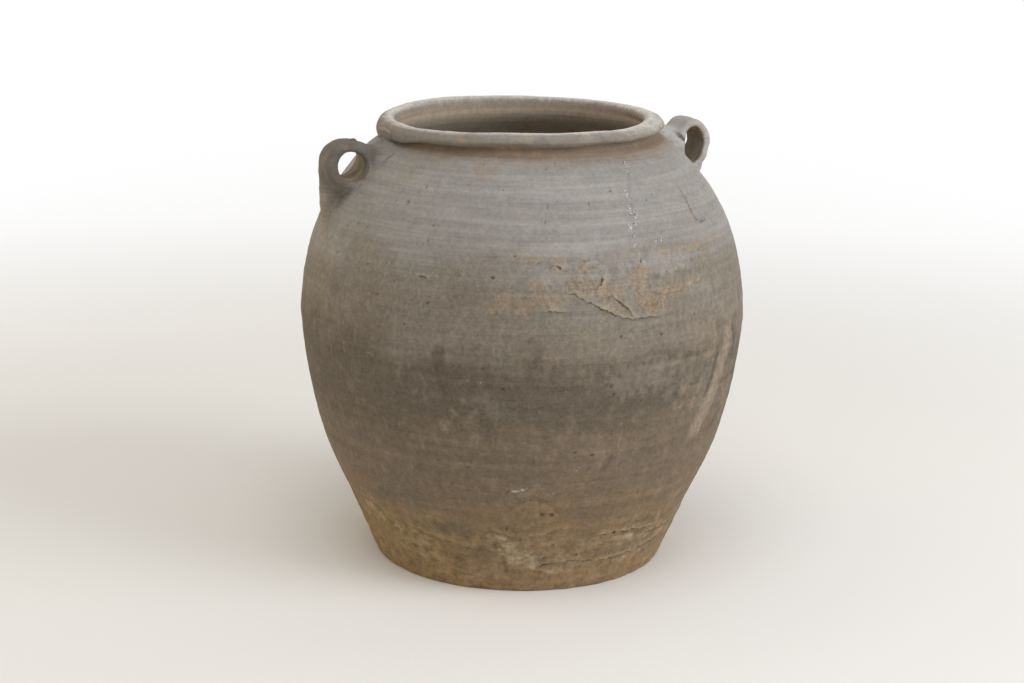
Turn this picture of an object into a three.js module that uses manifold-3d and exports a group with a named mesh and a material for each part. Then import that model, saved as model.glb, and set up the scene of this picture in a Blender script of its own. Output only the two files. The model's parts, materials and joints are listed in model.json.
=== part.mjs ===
import * as THREE from 'three';
import { mergeVertices } from 'three/addons/utils/BufferGeometryUtils.js';
import Module from 'manifold-3d';

// A hand-built clay jar with two pierced lugs: a floor, three stacked wall rings, a neck, a rolled lip
// and the lugs, luted together at lapped seams. Millimetres, +Z up, the origin under the floor's centre.

// Outside of the wall: radii and heights from the ground up
const footRadius = 98.5;
const footSeamRadius = 118.3;
const footSeamHeight = 47;
const bellyRadius = 150;
const bellyHeight = 169;
const shoulderHeight = 285.5;
const neckRadius = 89.5;
const neckFlare = 7;
const neckFillet = 3.5;
const neckRise = 7.9;

// The mouth was set off the foot's axis, towards the left lug, and dips that way
const mouthShift = 3.6;
const mouthTiltDegrees = 1;
const leanHeight = 255;

// Swell of the wall: its lean from upright, outwards positive, and how far each lean carries
const lowerLeave = { leanDegrees: 26, carry: 32 };
const lowerArrive = { leanDegrees: 5, carry: 70 };
const shoulderLeave = { leanDegrees: -4, carry: 37 };
const shoulderArrive = { leanDegrees: -49, carry: 61 };

// Thicknesses and seams
const wall = 8.5;
const neckWall = 6;
const floorEdge = 8;
const tongueHeight = 3.5;
const tongueWidth = 3;
const slipSeam = 0.3;

// Rolled lip
const lipWidth = 11.2;
const lipHeight = 9.3;
const lipOverhang = 6.2;
const lipLap = 2.5;

// Lugs: each is seated on the wall below the top of the shoulder, its eye square off the wall there,
// with a pad of clay left between the wall and the eye
const lugWidth = 27;
const rootWidth = 32;
const webWidth = 18;
const leftLug = {
  bearingDegrees: 180,
  seatDrop: 19.1,
  pad: 0.6,
  eyeWidth: 17,
  eyeHeight: 18.5,
  strap: 8.5,
  rootThickness: 13,
  tailDrop: 37,
};
const rightLug = {
  bearingDegrees: 5.5,
  seatDrop: 21.2,
  pad: 5,
  eyeWidth: 14.5,
  eyeHeight: 23,
  strap: 6,
  rootThickness: 26,
  tailDrop: 26,
};

// Fineness of the faceted surfaces
const turnSides = 48;
const wallStep = 16;
const curveSteps = 24;
const filletSteps = 4;
const lipSteps = 14;
const lugSides = 20;
const strapSides = 16;
const eyeSides = 28;

const collarTop = shoulderHeight + neckRise;
const neckBore = neckRadius - neckWall;

function leaning(degrees) {
  const angle = THREE.MathUtils.degToRad(degrees);
  return new THREE.Vector2(Math.sin(angle), Math.cos(angle));
}

function swell(from, leave, to, arrive) {
  const leaveHandle = from.clone().addScaledVector(leaning(leave.leanDegrees), leave.carry);
  const arriveHandle = to.clone().addScaledVector(leaning(arrive.leanDegrees), -arrive.carry);
  return new THREE.CubicBezierCurve(from, leaveHandle, arriveHandle, to);
}

const footEdge = new THREE.Vector2(footRadius, 0);
const footSeam = new THREE.Vector2(footSeamRadius, footSeamHeight);
const belly = new THREE.Vector2(bellyRadius, bellyHeight);
const shoulderTop = new THREE.Vector2(neckRadius + neckFlare, shoulderHeight);
const wallCurves = [
  new THREE.LineCurve(footEdge, footSeam),
  swell(footSeam, lowerLeave, belly, lowerArrive),
  swell(belly, shoulderLeave, shoulderTop, shoulderArrive),
];

// The two faces of the wall as radius and height, each rising all the way
function addRising(points, point) {
  if (points.length === 0 || point.y > points[points.length - 1].y) points.push(point);
}

const outside = [];
const inside = [];
for (const curve of wallCurves) {
  for (let step = 0; step <= curveSteps; step += 1) {
    const point = curve.getPoint(step / curveSteps);
    const along = curve.getTangent(step / curveSteps);
    addRising(outside, point);
    addRising(inside, new THREE.Vector2(point.x - wall * along.y, point.y + wall * along.x));
  }
}
addRising(inside, new THREE.Vector2(neckBore, shoulderHeight));
addRising(inside, new THREE.Vector2(neckBore, collarTop));

function radiusAt(face, height) {
  const above = face.findIndex((point) => point.y >= height);
  if (above === 0) return face[0].x;
  const high = face[above];
  const low = face[above - 1];
  return THREE.MathUtils.mapLinear(height, low.y, high.y, low.x, high.x);
}

// The way straight out of the wall at a height, as radius and height
function squareOff(height) {
  const spread = radiusAt(outside, height + wall) - radiusAt(outside, height - wall);
  return new THREE.Vector2(2 * wall, -spread).normalize();
}

function stretch(face, bottom, top) {
  const steps = Math.ceil((top - bottom) / wallStep);
  return Array.from({ length: steps + 1 }, (_, step) => {
    const height = THREE.MathUtils.lerp(bottom, top, step / steps);
    return new THREE.Vector2(radiusAt(face, height), height);
  });
}

// The neck's outside from where it starts: hollowed into the shoulder, then upright to the lip
function neckFace(start) {
  const corner = new THREE.Vector2(neckRadius, start);
  const end = new THREE.Vector2(neckRadius, start + neckFillet);
  const fillet = new THREE.QuadraticBezierCurve(new THREE.Vector2(shoulderTop.x, start), corner, end);
  return [...fillet.getPoints(filletSteps), new THREE.Vector2(neckRadius, collarTop)];
}

// The tongue on top of each piece stands on its inner side, and the next piece is rebated over it
function tongueRadius(seam) {
  return Math.max(radiusAt(inside, seam), radiusAt(inside, seam + tongueHeight)) + tongueWidth;
}

function tongue(seam) {
  const radius = tongueRadius(seam);
  return [new THREE.Vector2(radius, seam), new THREE.Vector2(radius, seam + tongueHeight)];
}

function rebate(seam) {
  const radius = tongueRadius(seam) + slipSeam;
  const bottom = seam + slipSeam;
  return [new THREE.Vector2(radius, bottom + tongueHeight), new THREE.Vector2(radius, bottom)];
}

// Where the lean carries a point: nowhere up to the lean height, the whole way from the neck up
function leant(point) {
  const share = THREE.MathUtils.smoothstep(point.z, leanHeight, shoulderHeight);
  const dip = Math.tan(THREE.MathUtils.degToRad(mouthTiltDegrees)) * point.x;
  return new THREE.Vector3(point.x - share * mouthShift, point.y, point.z + share * dip);
}

function turned(outline) {
  const geometry = new THREE.LatheGeometry(outline, turnSides).rotateX(Math.PI / 2);
  const places = geometry.attributes.position;
  for (let index = 0; index < places.count; index += 1) {
    const place = leant(new THREE.Vector3().fromBufferAttribute(places, index));
    places.setXYZ(index, place.x, place.y, place.z);
  }
  return geometry;
}

function turnedRing(outline) {
  return turned([...outline, outline[0].clone()]);
}

function floorDisc() {
  const centre = new THREE.Vector2(0, 0);
  const floorTop = new THREE.Vector2(0, floorEdge + tongueHeight);
  return turned([centre, ...stretch(outside, 0, floorEdge), ...tongue(floorEdge), floorTop]);
}

function wallRing(seam, top) {
  const bottom = seam + slipSeam;
  const tongueTop = top + tongueHeight;
  return turnedRing([
    ...stretch(outside, bottom, top),
    ...tongue(top),
    new THREE.Vector2(radiusAt(inside, tongueTop), tongueTop),
    ...stretch(inside, bottom + tongueHeight, top).reverse(),
    ...rebate(seam),
  ]);
}

function collarRing() {
  const bottom = shoulderHeight + slipSeam;
  return turnedRing([
    ...neckFace(bottom),
    new THREE.Vector2(neckBore, collarTop),
    new THREE.Vector2(neckBore, bottom + tongueHeight),
    ...rebate(shoulderHeight),
  ]);
}

// The lip's oval section sits on the collar's top and hooks down over its outer edge
function lipRing() {
  const centreRadius = neckRadius + lipOverhang - lipWidth / 2;
  const centreHeight = collarTop - lipLap + lipHeight / 2;
  const hookRadius = neckRadius + slipSeam;
  const seatHeight = collarTop + slipSeam;
  const seatAngle = Math.PI - Math.asin((seatHeight - centreHeight) / (lipHeight / 2));
  const hookAngle = -Math.acos((hookRadius - centreRadius) / (lipWidth / 2));
  const section = Array.from({ length: lipSteps + 1 }, (_, step) => {
    const angle = THREE.MathUtils.lerp(hookAngle, seatAngle, step / lipSteps);
    const radius = centreRadius + (lipWidth / 2) * Math.cos(angle);
    return new THREE.Vector2(radius, centreHeight + (lipHeight / 2) * Math.sin(angle));
  });
  return turnedRing([...section, new THREE.Vector2(hookRadius, seatHeight)]);
}

// Joining and cutting of closed solids
const manifold = await Module();
manifold.setup();

function solidOf(geometry) {
  const bare = geometry.clone();
  bare.deleteAttribute('normal');
  bare.deleteAttribute('uv');
  const merged = mergeVertices(bare);
  const vertProperties = new Float32Array(merged.attributes.position.array);
  const triVerts = new Uint32Array(merged.index.array);
  const mesh = new manifold.Mesh({ numProp: 3, vertProperties, triVerts });
  mesh.merge();
  return new manifold.Manifold(mesh);
}

function geometryOf(solid) {
  const mesh = solid.getMesh();
  const geometry = new THREE.BufferGeometry();
  geometry.setAttribute('position', new THREE.BufferAttribute(mesh.vertProperties, 3));
  geometry.setIndex(new THREE.BufferAttribute(mesh.triVerts, 1));
  geometry.computeVertexNormals();
  return geometry;
}

// The outside of the jar under the lip, grown by the slip seam, which trims the lugs' roots
function wallForm() {
  const lower = stretch(outside, footSeamHeight, bellyHeight - slipSeam);
  const upper = stretch(outside, bellyHeight + slipSeam, shoulderHeight);
  const face = [...lower, ...upper, ...neckFace(shoulderHeight).slice(1)];
  const grown = face.map((point) => new THREE.Vector2(point.x + slipSeam, point.y + slipSeam));
  const bottom = new THREE.Vector2(0, grown[0].y);
  const top = new THREE.Vector2(0, collarTop + slipSeam);
  return solidOf(turned([bottom, ...grown, top]));
}

// The strap round the eye, flat across with rounded edges
function strapRing(ringRadius, ringHeight, strap) {
  const section = Array.from({ length: strapSides }, (_, side) => {
    const angle = (side / strapSides) * 2 * Math.PI;
    const out = Math.sign(Math.cos(angle)) * Math.sqrt(Math.abs(Math.cos(angle)));
    const across = Math.sign(Math.sin(angle)) * Math.sqrt(Math.abs(Math.sin(angle)));
    return new THREE.Vector2(ringRadius + (strap / 2) * out, (lugWidth / 2) * across);
  });
  const ring = new THREE.LatheGeometry([...section, section[0].clone()], eyeSides);
  return ring.scale(1, 1, ringHeight / ringRadius);
}

// A flattened cone that hangs from the middle of its top down to its tip
function taper(top, thickness, width, tip) {
  const drop = top.z - tip.z;
  const cone = new THREE.ConeGeometry(0.5, 1, lugSides).rotateX(-Math.PI / 2).translate(0, 0, -0.5);
  const slant = new THREE.Matrix4().makeShear(0, 0, 0, 0, (top.x - tip.x) / drop, 0);
  return cone.scale(thickness, width, drop).applyMatrix4(slant).translate(top.x, 0, top.z);
}

// The root: a flattened lump from the neck to the near side of the ring
function rootLump(neck, ringSide, thickness) {
  const root = new THREE.SphereGeometry(0.5, lugSides, lugSides / 2).rotateX(Math.PI / 2);
  root.scale(ringSide - neck.x, rootWidth, thickness);
  return root.translate((neck.x + ringSide) / 2, 0, neck.z - thickness / 2);
}

// A lug is laid out round its eye, X away from the jar, and set at its bearing on the leaning shoulder
function lug({ bearingDegrees, seatDrop, pad, eyeWidth, eyeHeight, strap, rootThickness, tailDrop }) {
  const turn = THREE.MathUtils.degToRad(bearingDegrees);
  const placeAt = (radius, height) => {
    return leant(new THREE.Vector3(radius * Math.cos(turn), radius * Math.sin(turn), height));
  };
  const seatLevel = shoulderHeight - seatDrop;
  const off = squareOff(seatLevel);
  const standOff = pad + Math.hypot(off.x * eyeWidth, off.y * eyeHeight) / 2;
  const eyeLevel = seatLevel + off.y * standOff;
  const eye = placeAt(radiusAt(outside, seatLevel) + off.x * standOff, eyeLevel);
  const place = new THREE.Matrix4().makeRotationZ(turn).setPosition(eye);
  const fromEye = place.clone().invert();
  const onWall = (height) => placeAt(radiusAt(outside, height), height).applyMatrix4(fromEye);
  const ringRadius = (eyeWidth + strap) / 2;
  const ringHeight = (eyeHeight + strap) / 2;
  const limb = new THREE.Vector3(ringRadius, 0, 0);
  const web = onWall(eyeLevel - ringHeight);
  const tip = onWall(seatLevel - tailDrop);
  const neck = placeAt(neckRadius, shoulderHeight).applyMatrix4(fromEye);
  const lumps = [
    strapRing(ringRadius, ringHeight, strap),
    taper(limb, strap, lugWidth, tip),
    taper(web, 2 * (ringRadius - web.x), webWidth, tip),
    rootLump(neck, -eyeWidth / 2, rootThickness),
  ];
  const clay = lumps.map((lump) => solidOf(lump.applyMatrix4(place))).reduce((sum, lump) => sum.add(lump));
  return geometryOf(clay.subtract(wallForm()));
}

function clayFinish(colour, roughness) {
  return new THREE.MeshStandardMaterial({ color: colour, roughness, metalness: 0 });
}

const jar = new THREE.Group();
jar.name = 'handled_jar';

function addPiece(name, geometry, finish) {
  const piece = new THREE.Mesh(geometry, finish);
  piece.name = name;
  jar.add(piece);
}

addPiece('base_slab', floorDisc(), clayFinish(0x77695a, 0.95));
addPiece('foot_wall', wallRing(floorEdge, footSeamHeight), clayFinish(0x857767, 0.95));
addPiece('lower_wall', wallRing(footSeamHeight, bellyHeight), clayFinish(0x7d7468, 0.9));
addPiece('shoulder_wall', wallRing(bellyHeight, shoulderHeight), clayFinish(0x99938a, 0.88));
addPiece('neck_collar', collarRing(), clayFinish(0x8a7c6c, 0.92));
addPiece('rim_roll', lipRing(), clayFinish(0xa0968a, 0.88));
addPiece('left_lug', lug(leftLug), clayFinish(0x6f675e, 0.9));
addPiece('right_lug', lug(rightLug), clayFinish(0x95908a, 0.88));

export default jar;
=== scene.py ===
import itertools
import json
import math

import bpy
import numpy as np
from mathutils import Matrix, Vector


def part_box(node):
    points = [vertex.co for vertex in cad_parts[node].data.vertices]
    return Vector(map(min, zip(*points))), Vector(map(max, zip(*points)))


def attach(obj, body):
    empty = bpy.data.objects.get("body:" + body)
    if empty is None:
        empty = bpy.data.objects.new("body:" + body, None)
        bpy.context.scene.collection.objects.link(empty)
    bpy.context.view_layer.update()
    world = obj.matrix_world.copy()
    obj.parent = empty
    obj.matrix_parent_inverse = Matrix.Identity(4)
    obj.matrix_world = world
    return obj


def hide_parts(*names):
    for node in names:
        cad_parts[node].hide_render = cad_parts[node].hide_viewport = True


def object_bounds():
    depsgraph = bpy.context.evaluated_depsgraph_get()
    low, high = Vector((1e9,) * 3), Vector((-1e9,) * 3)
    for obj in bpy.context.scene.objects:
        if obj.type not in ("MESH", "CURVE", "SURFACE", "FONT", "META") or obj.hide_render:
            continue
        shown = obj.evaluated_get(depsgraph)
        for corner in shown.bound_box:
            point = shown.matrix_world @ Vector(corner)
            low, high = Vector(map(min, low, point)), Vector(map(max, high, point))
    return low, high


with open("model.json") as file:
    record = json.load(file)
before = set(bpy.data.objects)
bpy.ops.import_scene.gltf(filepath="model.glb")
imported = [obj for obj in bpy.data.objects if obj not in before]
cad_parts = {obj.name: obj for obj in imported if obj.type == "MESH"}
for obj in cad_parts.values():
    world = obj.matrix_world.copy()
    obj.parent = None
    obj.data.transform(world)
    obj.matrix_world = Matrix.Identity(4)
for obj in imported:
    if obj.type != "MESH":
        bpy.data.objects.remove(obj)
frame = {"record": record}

cad_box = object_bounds()

# The jar is shaped in millimetres and laid down in metres
MM = 0.001

# Outside of the wall: radii and heights from the ground up
FOOT_RADIUS = 98.5
FOOT_ROUND = 3.2
FLOOR_SEAM = 8.0
FOOT_SEAM = (118.3, 47.0)
BELLY = (150.0, 169.0)
SHOULDER_TOP = (96.5, 285.5)
NECK_EASE = 279.0
NECK_SEAM = 284.5
NECK_RADIUS = 89.5
NECK_TOP = 291.8
LOWER_LEAVE, LOWER_ARRIVE = (26, 32), (5, 70)
SHOULDER_LEAVE, SHOULDER_ARRIVE = (-4, 37), (-49, 61)

# Inside: wall, floor and bore
WALL = 8.5
FLOOR_TOP = 11.5
FLOOR_FILLET = 9.0
FLOOR_INSET = 3
BORE_RADIUS = 83.6
BORE_HEIGHT = 291.5
BORE_EASE = 270.0
# How far the handles of the neck's and the bore's curves reach, below and at the top
NECK_HANDLES, BORE_HANDLES = (8, 5), (12, 8)

# The rolled lip from the neck's top, over the crest, to the bore
LIP = [
    (93.3, 292.0), (95.6, 293.8), (95.4, 295.8), (93.4, 298.0), (90.4, 299.4), (87.2, 299.8), (84.9, 299.1),
    (84.0, 297.0),
]
LIP_STEER = 4
# Its lower edge, which sags towards the left lug and is uneven all round
EDGE_RADIUS, EDGE_TOP, EDGE_LOW, EDGE_UNEVEN = 94.5, 299, 293.5, 0.7
LIP_SAG, LIP_SAG_BEARING, LIP_SAG_REACH, LIP_SAG_FULL = 4.2, 178.0, 36.0, 6
# Where the whole lip stands high or low: bearing, millimetres and reach in degrees
LIP_WAVES = [(108, 2.1, 66), (248, 1.1, 30), (302, -0.9, 28), (199, -0.6, 20), (40, 0.5, 30)]
# Where the lip is thicker towards the bore, and where it is painted pale, partly wear and partly painted
# highlight: bearing and reach in degrees
LIP_THICK, THICK_BEARING, THICK_REACH = 1.8, 336.0, 60.0
FAIR_BEARING, FAIR_REACH, FAIR_SHARE = 322.0, 52.0, 0.64

# The mouth was set off the foot's axis and dips towards the left lug
MOUTH_SHIFT = 3.6
MOUTH_TILT = math.tan(math.radians(1))
LEAN_HEIGHT = 255.0
LEAN_ROUNDS = 4

# Fineness of the turned mesh: columns crowd on the marked side of the jar, and rows at its scar and where
# the mouth shows the inside
COLUMNS = 640
MARKED_SIDE = 272.0
CROWDS = [(45, 100, 0.9), (18, 36, 1.8)]
ROW_STEP, SCAR_CLOSER = 2.0, 1.35
SCAR_HEIGHT, SCAR_NEAR, SCAR_FAR = 209, 19, 30
BORE_STEP, SEEN_CLOSER, SEEN_FROM, SEEN_FULL = 5.5, 3, 235, 262
POLE_RADIUS = 4.0

# Lines of (bearing, height) on the wall where the skin split, with the millimetres that the clay above
# the line stands proud of the clay below it
SPLITS = [
    ([(259.6, 210.2), (261.3, 208.4), (263.3, 205.4), (265.6, 203.2), (267, 200.9), (268.8, 198.6)], 0.5),
    ([(268.8, 198.6), (270.9, 195.8), (272.6, 193.9), (274.4, 192.6), (276, 192.2)], 0.4),
    ([(271.4, 205.3), (272.4, 202.6), (273.6, 200.4), (274.9, 197.6), (275.3, 194.8)], 0.5),
    ([(275.6, 192.8), (278.6, 192.3), (282.2, 192.9)], 0.5),
    ([(268.2, 218.6), (267.4, 214.8)], 0.5),
    ([(254.6, 199.3), (257.2, 198.9)], 0.6),
    ([(256.4, 226), (257.8, 224.6)], 0.5),
    ([(221.8, 216.5), (224, 215.2)], 0.3),
    ([(252, 18.7), (257.9, 21.6), (263, 22.8), (268.5, 23.4), (275, 21.5)], 0.2),
    ([(277.5, 20.6), (284.8, 21.7), (291, 21.9), (297.2, 23.2), (303, 25), (308.3, 28.9)], 0.8),
    ([(275.5, 42.4), (281, 41.8)], 0.4),
    ([(284, 41.4), (289, 41), (293, 39.8), (299, 38.6)], 0.5),
    ([(297, 35.2), (303, 33.8), (309, 34.4)], 0.5),
]
# Low steps where one layer of clay ends, seen by their shading alone
STEPS = [
    ([(262, 222.3), (264.2, 222.8), (266, 222.2), (267.8, 222.9)], 0.3),
    ([(267.9, 221.6), (268.4, 218), (267.2, 213.4)], 0.35),
    ([(196, 52.6), (204.1, 45.6), (214.2, 40.8), (224.3, 36.8), (233.5, 34.4)], 0.5),
    ([(241.3, 47.6), (244.6, 45.2), (251, 43.6), (256, 46), (260, 50)], 0.5),
    ([(246.6, 66.6), (250, 71.4), (253.2, 72.8), (256.8, 69.6), (259.2, 63)], -0.55),
    ([(252.6, 214.6), (253.4, 207), (254.8, 201)], 0.2),
    ([(283.6, 207), (288, 205.6), (293, 207.4), (299, 210)], 0.4),
    ([(276, 225.4), (280.8, 226.4), (282.6, 218), (279.6, 210.6)], -0.2),
    ([(254.8, 225.8), (257.4, 227.6), (261.2, 229.2), (265.4, 228.6)], -0.35),
]

# Patches of bare clay: bearing, height, half width, half height and strength
BARE_PATCHES = [
    (263.6, 216, 14, 9.5, 1), (269, 208.5, 13, 9, 0.8), (272, 199.5, 11, 5, 0.7), (278.8, 212, 9, 13, 1),
    (281.5, 200.5, 10, 7, 0.9), (288, 206, 14, 4.5, 1), (296, 210.2, 9, 2, 0.9), (254, 209, 13, 9, 0.8),
    (247, 204, 24, 8, 0.6), (258, 224.5, 10, 4, 0.6), (252, 229.8, 34, 2.2, 0.75), (299, 230.6, 34, 3, 0.8),
    (300, 222, 26, 1.8, 0.5), (236, 199, 18, 3, 0.35), (251, 183, 34, 9, 0.28), (252, 171.5, 26, 2, 0.4),
    (209.1, 163.6, 4.5, 1.6, 0.9), (312, 181, 10, 5, 0.45), (234, 126, 18, 14, 0.4),
    (186, 200, 16, 30, 0.4), (300, 172, 18, 22, 0.4), (317, 128, 12, 26, 0.5), (207, 275, 16, 9, 0.5),
    (236, 279, 18, 5, 0.5), (253, 77, 15, 8, 0.45), (296, 136, 14, 12, 0.5), (40, 205, 30, 7, 0.7),
    (95, 232, 40, 3, 0.7), (120, 196, 18, 9, 0.6), (68, 128, 20, 12, 0.5), (150, 110, 18, 14, 0.5),
]
SMOKE_PATCHES = [
    (207, 172, 26, 30, 0.6), (209, 146, 24, 14, 0.6), (228.6, 158, 7, 17, 1), (251, 150, 14, 15, 0.8),
    (236, 172, 18, 10, 0.5), (267, 136, 22, 13, 0.8), (283, 130, 16, 16, 0.6), (235, 208, 20, 9, 0.5),
    (253, 96, 18, 9, 0.5), (272, 78, 14, 8, 0.45), (240, 96, 20, 9, 0.4), (273, 62, 20, 9, 0.6),
    (226, 46, 26, 5, 0.7), (204, 62, 18, 6, 0.6), (20, 150, 40, 26, 0.7), (75, 172, 26, 24, 0.6),
    (110, 140, 36, 22, 0.7), (160, 156, 30, 30, 0.6), (340, 140, 26, 24, 0.6),
]
FOOT_PATCHES = [
    (191, 46.5, 8, 4.5, 0.9), (197, 41.5, 9, 4.5, 0.9), (206, 33.5, 14, 6, 0.6), (214, 30, 17, 9, 0.55),
    (212, 18, 15, 4.5, 0.45), (219, 9.8, 9, 2.4, 0.6), (242, 43, 8, 3.2, 0.7), (245.8, 36.5, 12, 6, 0.8),
    (249.5, 28.5, 15, 7, 0.85), (252.5, 21.8, 9, 3.4, 0.8), (256, 33, 15, 9, 0.4),
    (263, 16.5, 24, 2.8, 0.45), (283, 37, 24, 2.4, 0.75), (292, 33, 22, 3.6, 0.5),
    (286, 44.6, 20, 1.6, 0.55), (287.5, 18.2, 15, 2, 0.95), (300, 20, 14, 3, 0.5), (240, 9.6, 36, 1.4, 0.4),
    (326, 40, 30, 5, 0.5), (345, 22, 26, 8, 0.5), (20, 34, 34, 5, 0.5), (58, 18, 30, 7, 0.5),
    (95, 38, 38, 4.5, 0.55), (130, 24, 24, 8, 0.55), (160, 40, 24, 5, 0.5),
]
WORN_PATCHES = [(252.6, 60.5, 14.5, 12, 1), (245, 50.8, 9.5, 5.5, 0.9)]

# Rubbed lines: points of bearing and height, half width and strength
DARK_RUBS = [
    ([(305.9, 160.5), (305.6, 150), (304.9, 140), (303, 132)], 1.9, 0.85),
    ([(314.6, 172), (317.4, 160), (317, 148), (316.6, 136)], 2.1, 0.8),
    ([(316.5, 115), (313.8, 110), (311, 104)], 2.4, 0.6),
    ([(308.6, 178), (312.8, 174.5), (315, 171)], 2.2, 0.4),
    ([(228, 172), (228.6, 160), (229.5, 148)], 4.5, 0.55),
    ([(270.6, 94.8), (272.4, 102)], 2.6, 0.55),
    ([(218.3, 113.8), (219.9, 108.4)], 1, 0.55),
    ([(266, 94.6), (267.4, 97.2)], 0.9, 0.6),
    ([(305.4, 245.3), (306.8, 242.8), (310.6, 243.4)], 1, 0.6),
]
BROWN_RUBS = [([(305.2, 261.2), (305, 255), (304.9, 249), (305.2, 243.6)], 1.1, 0.95)]
PALE_RUBS = [
    ([(312, 172), (311.2, 160), (309.8, 148), (307.6, 135), (304.6, 122), (301.8, 110)], 8, 0.85),
    ([(274.3, 125), (274.2, 114), (274.6, 103.6)], 0.9, 0.6),
    ([(201.6, 139), (201.3, 133), (201.5, 128.6)], 0.7, 0.45),
    ([(300, 268), (308.9, 267.4), (319, 265.8), (328, 266.6)], 0.8, 0.4),
]
WHITE_RUBS = [([(245.4, 79.3), (248.4, 80.8), (250.3, 82.4)], 0.36, 0.9)]
# Crusts of dried salt, and the dark run that they lie on
SALT_PATCHES = [
    (288.6, 279.6, 3.4, 2.6, 1), (287.2, 275.8, 1.8, 1.8, 0.6), (281.8, 265.4, 2.6, 3, 0.9),
    (281.6, 261, 2.8, 2.2, 0.8), (280.9, 254.4, 3.4, 3.4, 1), (280.3, 249.6, 2.6, 2.6, 0.9),
    (278.6, 246.4, 2.8, 2.4, 1), (279.4, 241, 2, 1.8, 0.6), (278.8, 236.7, 2.2, 1.8, 0.8),
    (287.8, 237.1, 1.7, 1.5, 1), (286.1, 237.9, 1.4, 1.2, 0.7), (277, 250, 1.4, 1.4, 0.5),
    (296.8, 287.4, 2, 1.4, 0.6), (312.5, 296.2, 1.4, 1.1, 0.5),
]
SALT_RUN = [([(289.2, 281), (286.2, 273), (282.4, 265), (280.4, 252), (278.8, 242)], 1.7, 0.8)]
# Rust in the groove under the lip and on the lip
RUST_PATCHES = [
    (234, 288.6, 9, 2.2, 0.6), (240.5, 289.4, 9, 2.6, 1), (247, 289.6, 8, 2.4, 0.9),
    (255, 289, 9, 2.2, 0.6), (262, 286.2, 9, 2, 0.5), (226, 296.6, 3.6, 2.4, 0.9), (305, 288, 20, 2.2, 0.5),
    (60, 288.6, 16, 2.4, 0.8), (85, 289, 10, 2.4, 0.7), (140, 288.4, 14, 2.4, 0.6), (79, 296.5, 3, 2, 0.9),
    (55, 297, 4, 1.6, 0.6),
]
# Where the smoke is thin
CLEAR_PATCHES = [
    (279, 156, 30, 16, 0.75), (299, 150, 40, 34, 0.5), (263, 190, 44, 8, 0.7), (278, 187, 26, 8, 0.7),
    (286, 225, 34, 8, 0.8), (300, 200, 20, 12, 0.5), (240, 139, 20, 9, 0.5), (187, 232, 26, 24, 0.35),
    (50, 190, 40, 20, 0.6), (140, 180, 30, 18, 0.6),
]

# Single pits that show on the marked side: bearing, height and radius
PLACED_PITS = [
    (212.2, 257.1, 1.5), (208.4, 263, 1), (222.9, 246.5, 0.9), (222.4, 237.9, 1.1), (205, 218.5, 0.8),
    (185.7, 211.4, 1.1), (191.5, 219.9, 1), (224.8, 200.7, 1.3), (216.1, 220.2, 0.9), (279.7, 226.8, 1.4),
    (267.5, 261.1, 0.8), (255, 260, 0.9), (311.4, 257.6, 0.9), (295.3, 189.5, 1), (283.6, 181.3, 1.3),
    (272.2, 181.9, 1.1), (246, 232.6, 1), (260.9, 283.1, 0.9), (234.8, 95.9, 1), (226.8, 98.5, 0.9),
    (212.5, 174.4, 1), (270.3, 151, 1.2), (271, 145.5, 1.3), (255.1, 61.6, 1.6), (257.8, 61.4, 1.7),
    (244.8, 50.6, 1.5), (198.5, 296, 1.2), (188, 294.4, 1.3),
]
# Loose pits: how many, and the ranges of bearing, height and radius that they are drawn from
LOOSE_PITS = 80
LOOSE_RANGES = ((0, 360), (12, 282), (0.5, 1.2))

# Smooth noise from a fixed draw
SLOPES = np.array([g for g in itertools.product((-1, 0, 1), repeat=3) if np.count_nonzero(g) == 2], float)


def noise(points, seed):
    """Smooth noise, about -1 to 1, at points of any shape whose last axis is x, y, z."""
    draw = np.random.RandomState(seed).permutation(256)
    slopes = SLOPES[draw % len(SLOPES)].T
    cell = np.floor(points).astype(int)
    part = points - cell
    fade = part**3 * (part * (part * 6 - 15) + 10)
    total = np.zeros(np.shape(points)[:-1])
    for corner in itertools.product((0, 1), repeat=3):
        lot, weight = 0, 1.0
        for axis, step in enumerate(corner):
            lot = draw[(lot + cell[..., axis] + step) & 255]
            weight = weight * (fade[..., axis] if step else 1 - fade[..., axis])
        total += weight * sum(slopes[axis][lot] * (part[..., axis] - corner[axis]) for axis in range(3))
    return total * 1.5


def ease(value, low, high):
    """0 below low, 1 above high and smooth between; low may be the greater one."""
    share = np.clip((value - low) / (high - low), 0, 1)
    return share * share * (3 - 2 * share)


# Outlines as radius and height
def leaning(degrees):
    return np.array([math.sin(math.radians(degrees)), math.cos(math.radians(degrees))])


def bezier(start, leave, arrive, end, count=400):
    t = np.linspace(0, 1, count)[:, None]
    start, leave, arrive, end = (np.array(p, float) for p in (start, leave, arrive, end))
    return (1 - t)**3 * start + 3 * t * (1 - t)**2 * leave + 3 * t * t * (1 - t) * arrive + t**3 * end


def swell(start, leave, end, arrive):
    start, end = np.array(start, float), np.array(end, float)
    return bezier(start, start + leaning(leave[0]) * leave[1], end - leaning(arrive[0]) * arrive[1], end)


def straight(start, end):
    return bezier(start, start, end, end)


def through(points, count=40):
    """A smooth curve through points, whose first and last only steer it."""
    p = np.array(points, float)
    t = np.linspace(0, 1, count, endpoint=False)[:, None]
    parts = []
    for a, b, c, d in zip(p, p[1:], p[2:], p[3:]):
        parts.append(b + 0.5 * t * (c - a + t * (2 * a - 5 * b + 4 * c - d + t * (3 * (b - c) + d - a))))
    return np.vstack(parts + [p[-2:-1]])


def square_off(line):
    """Unit directions square to a line of radius and height, to its right."""
    along = np.gradient(line, axis=0)
    along /= np.linalg.norm(along, axis=1)[:, None]
    return np.stack([along[:, 1], -along[:, 0]], 1)


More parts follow.
